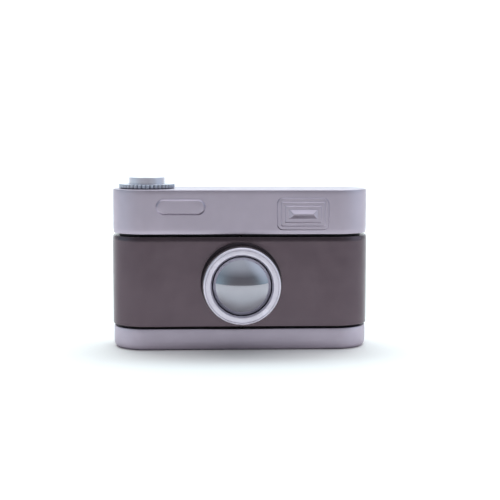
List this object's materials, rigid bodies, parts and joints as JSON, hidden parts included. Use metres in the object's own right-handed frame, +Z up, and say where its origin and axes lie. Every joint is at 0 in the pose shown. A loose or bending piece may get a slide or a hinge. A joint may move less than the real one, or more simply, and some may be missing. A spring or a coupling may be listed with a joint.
{
  "type": "camera-shaped fidget toy",
  "caption": "Metal fidget toy shaped like a small camera: a dark body slides between steel covers and carries a turning lens ring and rolling ball, with a clicking dial and push button on top.",
  "frame": {"origin": "middle of the flat underside of the bottom cover", "axes": "+X to the right as seen from the front, +Y to the back (the lens points to -Y), +Z up"},
  "size_m": [0.0502, 0.0241, 0.0334],
  "materials": {
    "blasted_steel": "fine bead-blasted stainless steel",
    "dark_coated_steel": "glossy dark brown-grey vapour coating on steel",
    "bright_steel": "fine-turned stainless steel",
    "mirror_steel": "mirror-polished bearing steel",
    "spring_steel": "plain drawn or hardened steel",
    "magnet": "nickel-plated magnet",
    "slippery_plastic": "black low-friction plastic"
  },
  "bodies": {
    "frame": {"top_cover": "blasted_steel", "bottom_cover": "blasted_steel", "guide_post_left": "blasted_steel", "guide_post_right": "blasted_steel", "base_screw_left": "spring_steel", "base_screw_right": "spring_steel", "lower_glide_left": "slippery_plastic", "lower_glide_right": "slippery_plastic", "upper_glide_left": "slippery_plastic", "upper_glide_right": "slippery_plastic", "cover_magnet_left": "magnet", "cover_magnet_middle": "magnet", "cover_magnet_right": "magnet", "dial_bush": "slippery_plastic", "dial_washer": "slippery_plastic", "mechanism_cap": "blasted_steel", "detent_spring": "spring_steel", "detent_ball": "bright_steel"},
    "slider": {"slide_body": "dark_coated_steel", "barrel_set_screw": "spring_steel", "body_magnet_left": "magnet", "body_magnet_middle": "magnet", "body_magnet_right": "magnet", "lens_barrel": "dark_coated_steel", "ball_cup": "slippery_plastic", "ball_magnet": "magnet", "support_ball_1": "bright_steel", "support_ball_2": "bright_steel", "support_ball_3": "bright_steel", "ring_washer": "slippery_plastic"},
    "bezel": {"lens_ring": "bright_steel", "ring_snap_wire": "spring_steel"},
    "ball": {"lens_ball": "mirror_steel"},
    "dial": {"shutter_dial": "blasted_steel", "dial_circlip": "spring_steel", "button_spring": "spring_steel"},
    "button": {"shutter_button": "blasted_steel", "button_clip": "spring_steel"}
  },
  "joints": [
    {"name": "body_slide", "type": "slide", "parent": "frame", "child": "slider", "axis": [1, 0, 0], "range_m": [-0.006, 0.006]},
    {"name": "lens_ring_turn", "type": "hinge", "parent": "slider", "child": "bezel", "pos_m": [0, -0.00815, 0.0133], "axis": [0, 1, 0], "continuous": true},
    {"name": "lens_ball_roll", "type": "hinge", "parent": "slider", "child": "ball", "pos_m": [0, -0.00885, 0.0133], "axis": [1, 0, 0], "continuous": true},
    {"name": "dial_turn", "type": "hinge", "parent": "frame", "child": "dial", "pos_m": [-0.0184, 0, 0.03115], "axis": [0, 0, 1], "continuous": true},
    {"name": "shutter_press", "type": "slide", "parent": "dial", "child": "button", "axis": [0, 0, -1], "range_m": [0, 0.0012], "stiffness_N_per_m": 600, "springref_m": -0.0008, "deforming": ["button_spring"]}
  ]
}
